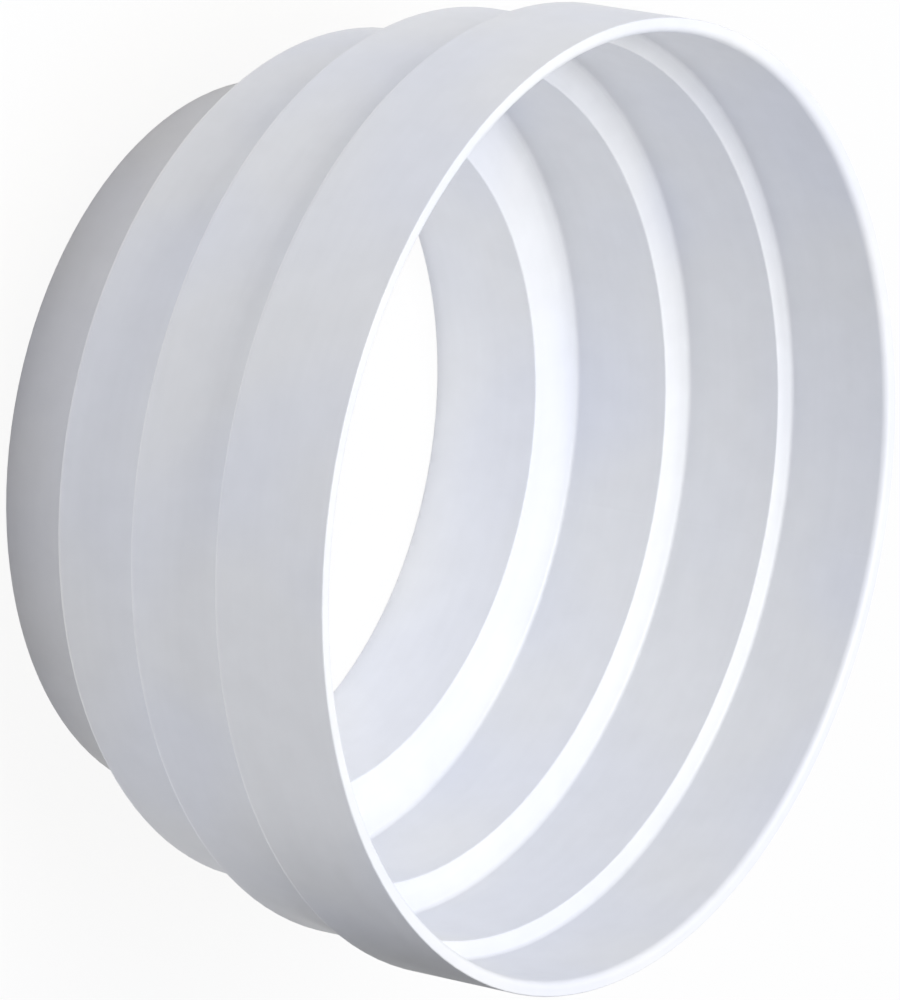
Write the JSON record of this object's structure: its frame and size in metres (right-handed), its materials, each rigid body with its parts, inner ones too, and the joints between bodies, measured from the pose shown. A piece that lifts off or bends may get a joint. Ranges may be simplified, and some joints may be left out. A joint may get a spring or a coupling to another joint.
{
  "type": "duct reducer",
  "caption": "Stepped round duct reducer in white moulded plastic: spigots of falling diameter below a wide pipe socket, open right through.",
  "frame": {"origin": "centre of the small spigot's end face, on the surface that the part stands on", "axes": "+Z along the duct's axis, from the small spigot to the wide mouth; the part is round, so X and Y are any two directions across the duct"},
  "size_m": [0.166, 0.166, 0.0822],
  "materials": {
    "white_abs": "cool white moulded ABS, semi-gloss as it leaves the mould"
  },
  "bodies": {
    "root": {"reducer_body": "white_abs"}
  },
  "joints": []
}
